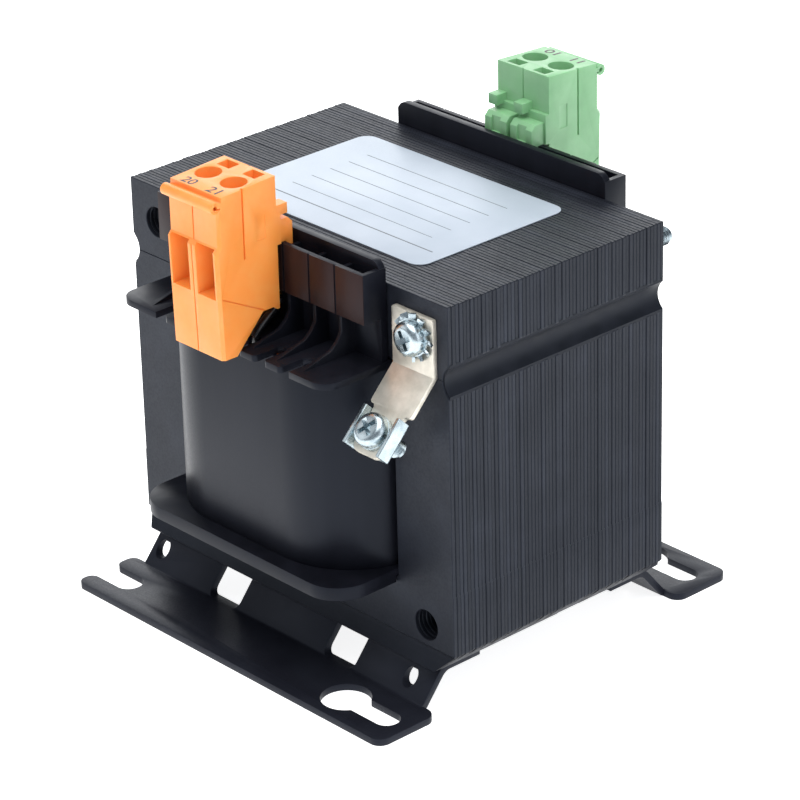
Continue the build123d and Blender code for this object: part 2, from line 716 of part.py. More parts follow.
def line_cutter(x, start, end, width, depth):
    """A thin bar along a line between two (y, z) points, to engrave a face."""
    run, rise = end[0] - start[0], end[1] - start[1]
    bar = Rot(degrees(atan2(rise, run)), 0, 0) * Box(width, hypot(run, rise), depth)
    return Pos(x, (start[0] + end[0]) / 2, (start[1] + end[1]) / 2) * bar


def housing_lines():
    """Fine lines in the housing's faces: a slit, a panel and seams on the sides, one line between poles."""
    half_width = POLES * POLE_PITCH / 2
    seam_front = housing_point(
        HOUSING_NOSE_DEPTH - SEAM_LINE_INSET, CHAMBER_TOP_DROP + CHAMBER_HEIGHT - SEAM_LINE_LIFT
    )
    seam_back = housing_point(HOUSING_BELLY_DEPTH, HOUSING_BELLY_DROP - SEAM_LINE_LIFT)
    lines = []
    for side in (-1, 1):
        x = side * half_width
        lines.append(line_cutter(x, seam_front, seam_back, 2 * SEAM_LINE_DEPTH, SEAM_LINE_WIDTH))
    slit_y = housing_point(SIDE_SLIT_BACK, 0)[0]
    lines.append(box_between(
        (half_width - SIDE_SLIT_DEPTH, slit_y - SIDE_SLIT_WIDTH / 2, housing_top - SIDE_SLIT_HEIGHT),
        (half_width + SIDE_SLIT_DEPTH, slit_y + SIDE_SLIT_WIDTH / 2, housing_top),
    ))
    panel_y, panel_z = housing_point(SIDE_PANEL_BACK, SIDE_PANEL_DROP)
    lines.append(box_between(
        (half_width - SIDE_PANEL_DEPTH, panel_y - SIDE_PANEL_WIDTH, panel_z - SIDE_PANEL_HEIGHT),
        (half_width + SIDE_PANEL_DEPTH, panel_y, panel_z),
    ))
    faces = [
        (housing_point(HOUSING_BACK_GAP, 0), housing_point(HOUSING_BACK_GAP, CLIP_PLATE_DROP)),
        (
            housing_point(HOUSING_FRONT_DEPTH, HOUSING_LEDGE_DROP),
            housing_point(HOUSING_FRONT_DEPTH, HOUSING_SHOULDER_DROP),
        ),
        (
            housing_point(HOUSING_NOSE_DEPTH, HOUSING_NOSE_DROP),
            housing_point(HOUSING_CHIN_DEPTH, HOUSING_TOTAL_HEIGHT),
        ),
    ]
    for n in range(1, POLES):
        x = pole_x[n] - POLE_PITCH / 2
        for start, end in faces:
            lines.append(line_cutter(x, start, end, POLE_LINE_WIDTH, 2 * POLE_LINE_DEPTH))
    return lines


def side_ridge():
    """Upright ridge on the side away from the slit, for the slit of a next housing."""
    half_width = POLES * POLE_PITCH / 2
    ridge_y, top = housing_point(SIDE_SLIT_BACK, HOUSING_TOP_SLOPE)
    return box_between(
        (-half_width - SIDE_RIDGE_HEIGHT, ridge_y - SIDE_RIDGE_WIDTH / 2, housing_top - SIDE_SLIT_HEIGHT),
        (-half_width, ridge_y + SIDE_RIDGE_WIDTH / 2, top),
    )


def terminal_housing(lug_side):
    """One housing; the lug of each pole stands at its left (-1) or right (1) end."""
    roll, roll_hollow = marker_roll()
    body = housing_shell() - housing_lines()
    body = body + roll + clip_plate() + side_ridge()
    body += [pole_clip(x, lug_side) for x in pole_x]
    body -= roll_hollow
    for x in pole_x:
        body -= pole_hollows(x)
    return body


def clamp_cage(x):
    """Steel frame that the screw draws up to grip the wire."""
    y = -rail_outer_y - SCREW_HOLE_BACK
    outer_half = chamber_width / 2 - CAGE_CLEARANCE
    inner_half = outer_half - CAGE_WALL
    low = chamber_bottom + CAGE_CLEARANCE
    cage = box_between(
        (x - outer_half, y - CAGE_LENGTH / 2, low), (x + outer_half, y + CAGE_LENGTH / 2, cage_top)
    )
    cage -= box_between(
        (x - inner_half, y - CAGE_LENGTH / 2, low + CAGE_PLATE),
        (x + inner_half, y + CAGE_LENGTH / 2, cage_top - CAGE_PLATE),
    )
    return (cage - cylinder_up(x, y, CLAMP_SHAFT_RADIUS, low + CAGE_PLATE, cage_top)).solid()


def clamp_screw(x):
    """Slotted screw that stands on its shoulder in the housing and presses on the contact."""
    y = -rail_outer_y - SCREW_HOLE_BACK
    head = cylinder_up(x, y, CLAMP_HEAD_RADIUS, screw_seat, screw_seat + CLAMP_HEAD_HEIGHT)
    slot_z = screw_seat + CLAMP_HEAD_HEIGHT - CLAMP_SLOT_DEPTH / 2
    head -= Pos(x, y, slot_z) * Box(2 * CLAMP_HEAD_RADIUS, CLAMP_SLOT_WIDTH, CLAMP_SLOT_DEPTH)
    return (head + cylinder_up(x, y, CLAMP_SHAFT_RADIUS, contact_top, screw_seat)).solid()


def contact(x):
    """Bent bar from under the screw, down the back of the chamber and out to a solder pin."""
    half_width = chamber_width / 2 - CAGE_WALL - 2 * CAGE_CLEARANCE
    front_y = -rail_outer_y - SCREW_HOLE_BACK - CAGE_LENGTH / 2
    bar_back = -rail_outer_y - CHAMBER_BACK + CONTACT_THICKNESS + CONTACT_CLEARANCE
    upper = [(front_y, contact_top), (bar_back, contact_top), (bar_back, pin_level - CONTACT_THICKNESS)]
    face = make_face(
        FilletPolyline(*upper, radius=CONTACT_THICKNESS + CONTACT_RADIUS).offset_2d(
            CONTACT_THICKNESS, side=Side.RIGHT, closed=True
        )
    )
    bar = extrude(Plane.YZ * face, half_width, both=True)
    pin = box_between(
        (-PIN_WIDTH / 2, bar_back - CONTACT_THICKNESS, pin_level - CONTACT_THICKNESS),
        (PIN_WIDTH / 2, -rail_outer_y + PIN_REACH, pin_level),
    )
    return (Pos(x, 0, 0) * (bar + pin)).solid()


def lead_wire(x):
    """Winding end: up through the flange's notch and back to the solder pin."""
    start_y = -(notch_inner + LEAD_GAP + LEAD_RADIUS)
    end_y = -rail_outer_y + PIN_REACH - LEAD_RADIUS
    low = (start_y, upper_flange_top + LEAD_RISE)
    high = (end_y, pin_level - CONTACT_THICKNESS - LEAD_RISE)
    length = hypot(high[0] - low[0], high[1] - low[1])
    lean_y = LEAD_BEND_CUT * (high[0] - low[0]) / length
    lean_z = LEAD_BEND_CUT * (high[1] - low[1]) / length
    points = [
        (start_y, coil_top),
        (low[0], low[1] - LEAD_BEND_CUT),
        (low[0] + lean_y, low[1] + lean_z),
        (high[0] - lean_y, high[1] - lean_z),
        (high[0], high[1] + LEAD_BEND_CUT),
        (end_y, pin_level - CONTACT_THICKNESS),
    ]
    path = Plane.YZ * Polyline(*points)
    section = Plane((0, start_y, coil_top)) * RegularPolygon(LEAD_RADIUS, LEAD_SIDES)
    lead = sweep(section, path=path, transition=Transition.RIGHT)
    return (Pos(x + NOTCH_OFFSET, 0, 0) * lead).solid()


def pan_head_screw(shank_length):
    """Cross-recessed screw: domed head above Z = 0, shank below."""
    steps = [
        (PAN_HEAD_RADIUS, PAN_EDGE_HEIGHT),
        (PAN_CROWN_RADIUS, PAN_CROWN_HEIGHT),
        (PAN_TOP_RADIUS, PAN_HEAD_HEIGHT),
    ]
    head = cylinder_up(0, 0, PAN_HEAD_RADIUS, 0, PAN_EDGE_HEIGHT)
    for (radius, low), (next_radius, high) in zip(steps, steps[1:]):
        head += Pos(0, 0, (low + high) / 2) * Cone(radius, next_radius, high - low)
    for angle in (0, 90):
        arm = Box(CROSS_LENGTH, CROSS_WIDTH, CROSS_DEPTH)
        head -= Pos(0, 0, PAN_HEAD_HEIGHT - CROSS_DEPTH / 2) * Rot(0, 0, angle) * arm
    shank = cylinder_up(0, 0, M4_RADIUS, -shank_length, 0)
    tip = shank.edges().sort_by(Axis.Z)[0]
    return head + chamfer(tip, TIP_CHAMFER)


def strap_profile():
    """Edge view of the strap: a tab flat on the core, then an arm that slopes down and forward."""
    knee = (-half_stack, strap_knee)
    tip = (
        knee[0] - STRAP_ARM_LENGTH * cos(radians(STRAP_ARM_ANGLE)),
        knee[1] - STRAP_ARM_LENGTH * sin(radians(STRAP_ARM_ANGLE)),
    )
    points = [(-half_stack, core_top - STRAP_TOP_DROP), knee, tip]
    path = FilletPolyline(*points, radius=STRAP_KNEE_RADIUS)
    return make_face(path.offset_2d(STRAP_THICKNESS, side=Side.RIGHT, closed=True))


def arm_plane(distance):
    """Plane on the arm's upper face, at a distance along it from the knee; its normal points up."""
    slope = radians(STRAP_ARM_ANGLE)
    along = Vector(0, -cos(slope), -sin(slope))
    normal = Vector(0, -sin(slope), cos(slope))
    knee = Vector(strap_x, -half_stack, strap_knee)
    origin = knee + along * distance + normal * STRAP_THICKNESS
    return Plane(origin, x_dir=(1, 0, 0), z_dir=normal)


def earth_strap():
    strap = extrude(Plane.YZ * strap_profile(), STRAP_WIDTH / 2, both=True)
    strap = Pos(strap_x, 0, 0) * strap
    neck_length = 2 * (STRAP_ARM_LENGTH - STRAP_NECK_START)
    shoulder = (STRAP_WIDTH - STRAP_NECK_WIDTH) / 2
    for side in (-1, 1):
        x = side * (STRAP_NECK_WIDTH + shoulder) / 2
        block = Box(shoulder, neck_length, 4 * STRAP_THICKNESS)
        strap -= arm_plane(STRAP_ARM_LENGTH).location * Pos(x, 0, -STRAP_THICKNESS) * block
    strap -= cylinder_along_y(hole_x, core_top - HOLE_INSET, M4_HOLE_RADIUS, -STACK_DEPTH, -half_stack)
    hole = Cylinder(M4_HOLE_RADIUS, 4 * STRAP_THICKNESS)
    strap -= arm_plane(CLAMP_PLATE_CENTRE).location * hole
    tip_edges = strap.edges().filter_by(lambda e: abs(e.length - STRAP_THICKNESS) < 0.01)
    low_edges = tip_edges.sort_by(Axis.Z)[:2]
    strap = fillet(low_edges, STRAP_TIP_RADIUS)
    tip_edges = strap.edges().filter_by(lambda e: abs(e.length - STRAP_THICKNESS) < 0.01)
    high_edges = tip_edges.sort_by(Axis.Z)[-2:]
    return fillet(high_edges, STRAP_TOP_RADIUS)


def star_washer():
    """External-tooth lock washer: a flat ring with twisted teeth round it."""
    washer = extrude(Circle(WASHER_ROOT_RADIUS) - Circle(M4_HOLE_RADIUS), WASHER_THICKNESS)
    reach = WASHER_OUTER_RADIUS - WASHER_ROOT_RADIUS
    tooth = Box(reach, WASHER_TOOTH_WIDTH, WASHER_THICKNESS)
    tooth = Rot(WASHER_TOOTH_TWIST, 0, 0) * tooth
    tooth = Pos(WASHER_ROOT_RADIUS + reach / 2, 0, WASHER_THICKNESS / 2) * tooth
    root = Box(reach, WASHER_TOOTH_WIDTH / 2, WASHER_THICKNESS)
    root = Pos(WASHER_ROOT_RADIUS - WASHER_THICKNESS / 2, 0, WASHER_THICKNESS / 2) * root
    for n in range(WASHER_TEETH):
        washer += Rot(0, 0, 360 * n / WASHER_TEETH) * (tooth + root)
    y = -half_stack - STRAP_THICKNESS - washer_lift
    return Pos(hole_x, y, core_top - HOLE_INSET) * Rot(90, 0, 0) * washer


def earth_screw():
    """Long screw through the core; its tip stands out behind the nut."""
    head_y = -half_stack - STRAP_THICKNESS - washer_lift - WASHER_THICKNESS
    screw = pan_head_screw(half_stack + EARTH_SCREW_TIP_REACH - head_y)
    return Pos(hole_x, head_y, core_top - HOLE_INSET) * Rot(90, 0, 0) * screw


def earth_nut():
    body = extrude(RegularPolygon(NUT_ACROSS_FLATS / 2, 6, major_radius=False), NUT_THICKNESS)
    body -= Cylinder(M4_RADIUS, 4 * NUT_THICKNESS)
    return Pos(hole_x, half_stack, core_top - HOLE_INSET) * Rot(-90, 0, 0) * body


def clamp_plate():
    """Saddle under the arm, with its two sides turned up past the arm's edges."""
    inner = STRAP_NECK_WIDTH / 2 + CLAMP_GAP
    outer = inner + CLAMP_PLATE_THICKNESS
    under = -STRAP_THICKNESS
    floor = under - CLAMP_PLATE_THICKNESS
    points = [
        (-outer, floor),
        (outer, floor),
        (outer, CLAMP_FLANGE_RISE),
        (inner, CLAMP_FLANGE_RISE),
        (inner, under),
        (-inner, under),
        (-inner, CLAMP_FLANGE_RISE),
        (-outer, CLAMP_FLANGE_RISE),
    ]
    section = make_face(Polyline(*points, close=True))
    corners = section.vertices().filter_by(lambda v: v.Y < floor + 0.01)
    section = fillet(corners, CLAMP_PLATE_THICKNESS)
    saddle = extrude(Plane.XZ * section, CLAMP_PLATE_LENGTH / 2, both=True)
    saddle -= Cylinder(M4_RADIUS, 8 * CLAMP_PLATE_THICKNESS)
    return arm_plane(CLAMP_PLATE_CENTRE).location * saddle


def strap_clamp_screw():
    screw = pan_head_screw(CLAMP_SCREW_REACH + SPRING_WASHER_THICKNESS)
    return arm_plane(CLAMP_PLATE_CENTRE).location * Pos(0, 0, SPRING_WASHER_THICKNESS) * screw


def spring_washer():
    """Split ring between the clamp screw's head and the arm."""
    ring = Circle(SPRING_WASHER_RADIUS) - Circle(M4_HOLE_RADIUS)
    split = Pos(SPRING_WASHER_RADIUS, 0) * Rectangle(2 * SPRING_WASHER_RADIUS, SPRING_WASHER_SPLIT)
    washer = extrude(ring - split, SPRING_WASHER_THICKNESS)
    return arm_plane(CLAMP_PLATE_CENTRE).location * washer


def group(make_one):
    """The same small piece in every pole, as one group of separate solids."""
    return Compound(children=[make_one(x) for x in pole_x])


def build_nodes():
    e_stack, i_stack = laminations()
    primary, foil, secondary, cover = coil_layers()
    foot = front_foot()
    nodes = {
        "e_laminations": e_stack,
        "i_laminations": i_stack,
        "weld_seams": weld_seams(),
        "front_foot": foot,
        "rear_foot": mirror(foot, Plane.XZ),
        "bobbin": bobbin(),
        "primary_winding": primary,
        "insulation_foil": foil,
        "secondary_winding": secondary,
        "coil_cover": cover,
        "rating_label": label(),
        "earth_strap": earth_strap(),
        "star_washer": star_washer(),
        "earth_screw": earth_screw(),
        "earth_nut": earth_nut(),
        "clamp_plate": clamp_plate(),
        "spring_washer": spring_washer(),
        "strap_clamp_screw": strap_clamp_screw(),
        "front_terminal_housing": terminal_housing(1),
        "rear_terminal_housing": mirror(terminal_housing(-1), Plane.XZ),
    }
    per_pole = {
        "clamp_cages": clamp_cage,
        "clamp_screws": clamp_screw,
        "contacts": contact,
        "lead_wires": lead_wire,
    }
    for name, make_one in per_pole.items():
        nodes["front_" + name] = group(make_one)
        nodes["rear_" + name] = turned_to_back(group(make_one))
    return nodes


os.makedirs("parts", exist_ok=True)
for node_name, node in build_nodes().items():
    export_step(node, "parts/" + node_name + ".step")
    print(node_name, "solids", len(node.solids()), "volume", round(node.volume, 1))
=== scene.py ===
import json
import random
from math import cos, pi, radians, sin

import bmesh
import bpy
from mathutils import Matrix, Vector


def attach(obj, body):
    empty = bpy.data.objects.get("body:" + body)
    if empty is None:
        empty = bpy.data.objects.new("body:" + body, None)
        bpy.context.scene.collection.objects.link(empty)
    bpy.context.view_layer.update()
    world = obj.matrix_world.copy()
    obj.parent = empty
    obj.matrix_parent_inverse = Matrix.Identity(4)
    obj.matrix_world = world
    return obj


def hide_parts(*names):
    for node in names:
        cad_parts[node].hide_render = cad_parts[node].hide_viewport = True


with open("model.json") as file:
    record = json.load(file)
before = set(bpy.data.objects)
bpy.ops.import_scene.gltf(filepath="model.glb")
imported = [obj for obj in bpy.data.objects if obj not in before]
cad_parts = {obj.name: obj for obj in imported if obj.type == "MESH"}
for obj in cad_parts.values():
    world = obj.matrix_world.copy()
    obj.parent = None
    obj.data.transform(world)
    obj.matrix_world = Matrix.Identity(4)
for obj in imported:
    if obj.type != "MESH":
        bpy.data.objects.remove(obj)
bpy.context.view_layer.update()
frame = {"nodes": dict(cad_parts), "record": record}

mm = 0.001
nodes = frame["nodes"]


shot = {
    # metres and degrees; the lens and its sensor are in millimetres
    "place": (0.531541, -0.478939, 0.383196),
    "azimuth": 47.94,
    "elevation": 25.42,
    "roll": -1.47,
    "lens": 170.47,
    "sensor": 36.0,
    "near": 0.05,
    "far": 20.0,
}


def setCamera():
    camera = bpy.data.objects.new("camera", bpy.data.cameras.new("camera"))
    bpy.context.scene.collection.objects.link(camera)
    camera.data.lens = shot["lens"]
    camera.data.sensor_width = shot["sensor"]
    camera.data.clip_start = shot["near"]
    camera.data.clip_end = shot["far"]
    turn = Matrix.Rotation(radians(shot["azimuth"]), 4, "Z")
    turn = turn @ Matrix.Rotation(radians(90 - shot["elevation"]), 4, "X")
    turn = turn @ Matrix.Rotation(radians(shot["roll"]), 4, "Z")
    camera.matrix_world = Matrix.Translation(shot["place"]) @ turn
    bpy.context.scene.camera = camera


lamps = {
    # metres and watts
    "overhead": {
        "place": (0.1, -0.1, 1.1), "size": 1.1, "power": 12.0, "colour": (1.0, 0.99, 0.97),
    },
    "leftFront": {
        "place": (-0.75, -0.85, 0.55), "size": 0.7, "power": 1.4, "colour": (1.0, 0.98, 0.96),
    },
    "rightFront": {
        "place": (1.0, 0.15, 0.5), "size": 0.7, "power": 1.9, "colour": (0.97, 0.98, 1.0),
    },
    "behind": {
        "place": (-0.95, 0.88, 0.62), "size": 1.1, "power": 9.0, "colour": (1.0, 1.0, 1.0),
    },
}

room = {"colour": (0.86, 0.92, 1.0, 1.0), "strength": 0.38, "aim": (0.0, 0.0, 0.05)}


def setLamps():
    aim = Vector(room["aim"])
    for name, facts in lamps.items():
        lamp = bpy.data.lights.new(name, "AREA")
        lamp.shape = "SQUARE"
        lamp.size = facts["size"]
        lamp.energy = facts["power"]
        lamp.color = facts["colour"]
        holder = bpy.data.objects.new(name, lamp)
        bpy.context.scene.collection.objects.link(holder)
        holder.location = facts["place"]
        holder.rotation_euler = (aim - holder.location).to_track_quat("-Z", "Y").to_euler()
    bpy.context.scene.view_settings.view_transform = "Standard"
    world = bpy.data.worlds.new("studio")
    bpy.context.scene.world = world
    world.use_nodes = True
    backdrop = world.node_tree.nodes["Background"]
    backdrop.inputs["Color"].default_value = room["colour"]
    backdrop.inputs["Strength"].default_value = room["strength"]


core = {
    # all in millimetres, on an EI 96 sheet
    "halfWidth": 48.0, "halfStack": 29.85, "bottom": 8.7, "joint": 72.7, "top": 88.7,
    "sheets": 60, "pitch": 0.995, "thickness": 0.985, "edge": 0.13,
    "slip": 0.1, "lift": 0.05, "seed": 21,
    "windowInner": 16.0, "windowOuter": 32.0, "windowBottom": 24.7, "cornerCut": 3.5,
    "stepZ": 25.9, "stepHeight": 0.45, "stepOut": 0.14, "legInside": 44.0,
    "holeX": 40.0, "lowerHoleZ": 16.7, "upperHoleZ": 80.7, "holeRadius": 3.3,
    "grooveX": 50.514, "grooveRoom": 0.35,
    "beadRadius": 3.914, "beadWall": 0.6, "beadShort": 0.25,
}


def linear(code):
    values = [int(code[i:i + 2], 16) / 255 for i in (1, 3, 5)]
    steps = [v / 12.92 if v <= 0.04045 else ((v + 0.055) / 1.055) ** 2.4 for v in values]
    return (*steps, 1.0)


def perMetre(size):
    # the scale of a noise whose blotches are this many millimetres wide
    return 1000.0 / size


def bandsPerMetre(size):
    # the scale of a wave texture whose bands are this many millimetres apart: it has
    # 20 / (2 * pi) bands in each unit
    return perMetre(size) * 2 * pi / 20


def wireUp(material, node, links):
    # each link is a socket's name with the node and output that feed it
    for key, (source, output) in links.items():
        material.node_tree.links.new(source.outputs[output], node.inputs[key])


def addNode(material, kind, settings=None, links=None):
    # a setting is a socket's value, a property or the stops of a colour ramp
    node = material.node_tree.nodes.new(kind)
    for key, value in (settings or {}).items():
        if key == "stops":
            elements = node.color_ramp.elements
            while len(elements) < len(value):
                elements.new(0.5)
            for element, (position, colour) in zip(elements, value):
                element.position = position
                element.color = linear(colour)
        elif isinstance(key, int) or key in node.inputs:
            node.inputs[key].default_value = value
        else:
            setattr(node, key, value)
    wireUp(material, node, links or {})
    return node


def startMaterial(name, settings):
    # every pattern starts from the piece's own coordinates
    material = bpy.data.materials.new(name)
    material.use_nodes = True
    shader = material.node_tree.nodes["Principled BSDF"]
    for key, value in settings.items():
        shader.inputs[key].default_value = value
    return material, shader, addNode(material, "ShaderNodeTexCoord")


blackSheen = linear("#DDEAFF")  # black varnish, paint and plastic reflect a little blue


def varnishedSheets():
    # silicon steel sheets, stamped, stacked and dipped in black varnish: a satin blue-black,
    # each sheet's edge a little lighter or darker than the next, with faint runs; the grain
    # is drawn coarser than the varnish has it, so that it shows
    material, shader, where = startMaterial("varnishedSheets", {
        "Roughness": 0.45, "IOR": 1.5, "Specular IOR Level": 0.26, "Specular Tint": blackSheen,
    })
    axes = addNode(material, "ShaderNodeSeparateXYZ", None, {"Vector": (where, "Object")})
    count = addNode(
        material, "ShaderNodeMath",
        {"operation": "MULTIPLY_ADD", 1: perMetre(core["pitch"]), 2: core["sheets"] / 2},
        {0: (axes, "Y")},
    )
    whole = addNode(material, "ShaderNodeMath", {"operation": "FLOOR"}, {0: (count, 0)})
    eachSheet = addNode(
        material, "ShaderNodeTexWhiteNoise", {"noise_dimensions": "1D"}, {"W": (whole, 0)})
    blotches = addNode(
        material, "ShaderNodeTexNoise", {"Scale": perMetre(9.0), "Detail": 4.0},
        {"Vector": (where, "Object")},
    )
    tone = addNode(
        material, "ShaderNodeMix", {"data_type": "FLOAT", 0: 0.34},
        {2: (blotches, "Fac"), 3: (eachSheet, "Value")},
    )
    colour = addNode(
        material, "ShaderNodeValToRGB",
        {"stops": [(0.2, "#101219"), (0.5, "#1A1C23"), (0.8, "#272A33")]}, {"Fac": (tone, 0)},
    )
    grain = addNode(
        material, "ShaderNodeTexNoise", {"Scale": perMetre(0.5), "Detail": 3.0},
        {"Vector": (where, "Object")},
    )
    roughness = addNode(
        material, "ShaderNodeMapRange",
        {"From Min": 0.3, "From Max": 0.7, "To Min": 0.38, "To Max": 0.54},
        {"Value": (grain, "Fac")},
    )
    bump = addNode(
        material, "ShaderNodeBump", {"Distance": 0.012 * mm, "Strength": 0.6},
        {"Height": (grain, "Fac")},
    )
    wireUp(material, shader, {
        "Base Color": (colour, "Color"), "Roughness": (roughness, "Result"),
        "Normal": (bump, "Normal"),
    })
    return material


def varnishedBead():
    # a weld bead under the same black varnish: smoother than the sheets, with long soft
    # swells where the arc slowed down
    material, shader, where = startMaterial("varnishedWeldBead", {
        "Roughness": 0.5, "IOR": 1.5, "Specular IOR Level": 0.22, "Specular Tint": blackSheen,
    })
    swells = addNode(
        material, "ShaderNodeTexWave",
        {
            "bands_direction": "Y", "Scale": bandsPerMetre(11.31),
            "Distortion": 3.0, "Detail": 2.0,
        },
        {"Vector": (where, "Object")},
    )
    cloud = addNode(
        material, "ShaderNodeTexNoise", {"Scale": perMetre(4.0), "Detail": 3.0},
        {"Vector": (where, "Object")},
    )
    colour = addNode(
        material, "ShaderNodeValToRGB", {"stops": [(0.3, "#0E1016"), (0.7, "#181A21")]},
        {"Fac": (cloud, "Fac")},
    )
    roughness = addNode(
        material, "ShaderNodeMapRange",
        {"From Min": 0.3, "From Max": 0.7, "To Min": 0.42, "To Max": 0.58},
        {"Value": (cloud, "Fac")},
    )
    bump = addNode(
        material, "ShaderNodeBump", {"Distance": 0.08 * mm, "Strength": 0.6},
        {"Height": (swells, "Fac")},
    )
    wireUp(material, shader, {
        "Base Color": (colour, "Color"), "Roughness": (roughness, "Result"),
        "Normal": (bump, "Normal"),
    })
    return material


def paintedFoot():
    # mild steel, folded and powder coated black: satin with a slight orange peel
    material, shader, where = startMaterial("blackPowderCoat", {
        "Roughness": 0.38, "IOR": 1.5, "Specular IOR Level": 0.15, "Specular Tint": blackSheen,
    })
    peel = addNode(
        material, "ShaderNodeTexNoise", {"Scale": perMetre(1.3), "Detail": 2.0},
        {"Vector": (where, "Object")},
    )
    fine = addNode(
        material, "ShaderNodeTexNoise", {"Scale": perMetre(0.35), "Detail": 3.0},
        {"Vector": (where, "Object")},
    )
    blotches = addNode(
        material, "ShaderNodeTexNoise", {"Scale": perMetre(14.0), "Detail": 3.0},
        {"Vector": (where, "Object")},
    )
    colour = addNode(
        material, "ShaderNodeValToRGB", {"stops": [(0.3, "#1B1C24"), (0.7, "#25272F")]},
        {"Fac": (blotches, "Fac")},
    )
    roughness = addNode(
        material, "ShaderNodeMapRange",
        {"From Min": 0.3, "From Max": 0.7, "To Min": 0.32, "To Max": 0.46},
        {"Value": (fine, "Fac")},
    )
    bump = addNode(
        material, "ShaderNodeBump", {"Distance": 0.02 * mm, "Strength": 0.5},
        {"Height": (peel, "Fac")},
    )
    wireUp(material, shader, {
        "Base Color": (colour, "Color"), "Roughness": (roughness, "Result"),
        "Normal": (bump, "Normal"),
    })
    return material


# metres: between which the painted brown reflection starts, outwards along Y and upwards along Z
railReflection = {"near": 0.03612, "far": 0.03622, "low": 0.079, "high": 0.0815, "brownReflection": 0.9}


def blackNylon():
    # glass-filled nylon, injection moulded: deep black with a soft sheen and flow marks,
    # with a little painted brown reflection high on the outer faces of the two rails
    material, shader, where = startMaterial("mouldedBlackNylon", {
        "Roughness": 0.4, "IOR": 1.53, "Specular IOR Level": 0.14, "Specular Tint": blackSheen,
    })
    drawn = addNode(
        material, "ShaderNodeMapping", {"Scale": (1, 1, 0.3)}, {"Vector": (where, "Object")})
    flow = addNode(
        material, "ShaderNodeTexNoise", {"Scale": perMetre(6.0), "Detail": 3.0},
        {"Vector": (drawn, "Vector")},
    )
    fine = addNode(
        material, "ShaderNodeTexNoise", {"Scale": perMetre(0.3), "Detail": 3.0},
        {"Vector": (where, "Object")},
    )
    axes = addNode(material, "ShaderNodeSeparateXYZ", None, {"Vector": (where, "Object")})
    out = addNode(material, "ShaderNodeMath", {"operation": "ABSOLUTE"}, {0: (axes, "Y")})
    onFace = addNode(
        material, "ShaderNodeMapRange",
        {"From Min": railReflection["near"], "From Max": railReflection["far"], "To Min": 0.0, "To Max": 1.0},
        {"Value": (out, 0)},
    )
    highUp = addNode(
        material, "ShaderNodeMapRange",
        {
            "From Min": railReflection["low"], "From Max": railReflection["high"],
            "To Min": 0.0, "To Max": railReflection["brownReflection"],
        },
        {"Value": (axes, "Z")},
    )
    # painted reflection: brown mixed into the colour on the upper outer faces of the rails
    reflectionWeight = addNode(
        material, "ShaderNodeMath", {"operation": "MULTIPLY"},
        {0: (onFace, "Result"), 1: (highUp, "Result")},
    )
    plain = addNode(
        material, "ShaderNodeValToRGB", {"stops": [(0.3, "#101117"), (0.7, "#181921")]},
        {"Fac": (flow, "Fac")},
    )
    brownReflection = addNode(
        material, "ShaderNodeValToRGB", {"stops": [(0.3, "#241613"), (0.7, "#33211D")]},
        {"Fac": (flow, "Fac")},
    )
    colour = addNode(
        material, "ShaderNodeMix", {"data_type": "RGBA"},
        {0: (reflectionWeight, 0), 6: (plain, "Color"), 7: (brownReflection, "Color")},
    )
    roughness = addNode(
        material, "ShaderNodeMapRange",
        {"From Min": 0.3, "From Max": 0.7, "To Min": 0.3, "To Max": 0.45},
        {"Value": (flow, "Fac")},
    )
    bump = addNode(
        material, "ShaderNodeBump", {"Distance": 0.008 * mm, "Strength": 0.6},
        {"Height": (fine, "Fac")},
    )
    wireUp(material, shader, {
        "Base Color": (colour, 2), "Roughness": (roughness, "Result"),
        "Normal": (bump, "Normal"),
    })
    return material


def filmCover():
    # black polyester film, wound tight round the coil: smooth, with long soft reflections
    material, shader, where = startMaterial("woundPolyesterFilm", {
        "Roughness": 0.36, "IOR": 1.6, "Specular IOR Level": 0.15, "Specular Tint": blackSheen,
    })
    drawn = addNode(
        material, "ShaderNodeMapping", {"Scale": (1, 1, 0.12)}, {"Vector": (where, "Object")})
    waves = addNode(
        material, "ShaderNodeTexNoise", {"Scale": perMetre(9.0), "Detail": 2.0},
        {"Vector": (drawn, "Vector")},
    )
    fine = addNode(
        material, "ShaderNodeTexNoise", {"Scale": perMetre(0.4), "Detail": 2.0},
        {"Vector": (where, "Object")},
    )
    colour = addNode(
        material, "ShaderNodeValToRGB", {"stops": [(0.3, "#101118"), (0.7, "#181920")]},
        {"Fac": (waves, "Fac")},
    )
    roughness = addNode(
        material, "ShaderNodeMapRange",
        {"From Min": 0.3, "From Max": 0.7, "To Min": 0.32, "To Max": 0.4},
        {"Value": (fine, "Fac")},
    )
    bump = addNode(
        material, "ShaderNodeBump", {"Distance": 0.12 * mm, "Strength": 0.25},
        {"Height": (waves, "Fac")},
    )
    wireUp(material, shader, {
        "Base Color": (colour, "Color"), "Roughness": (roughness, "Result"),
        "Normal": (bump, "Normal"),
    })
    return material


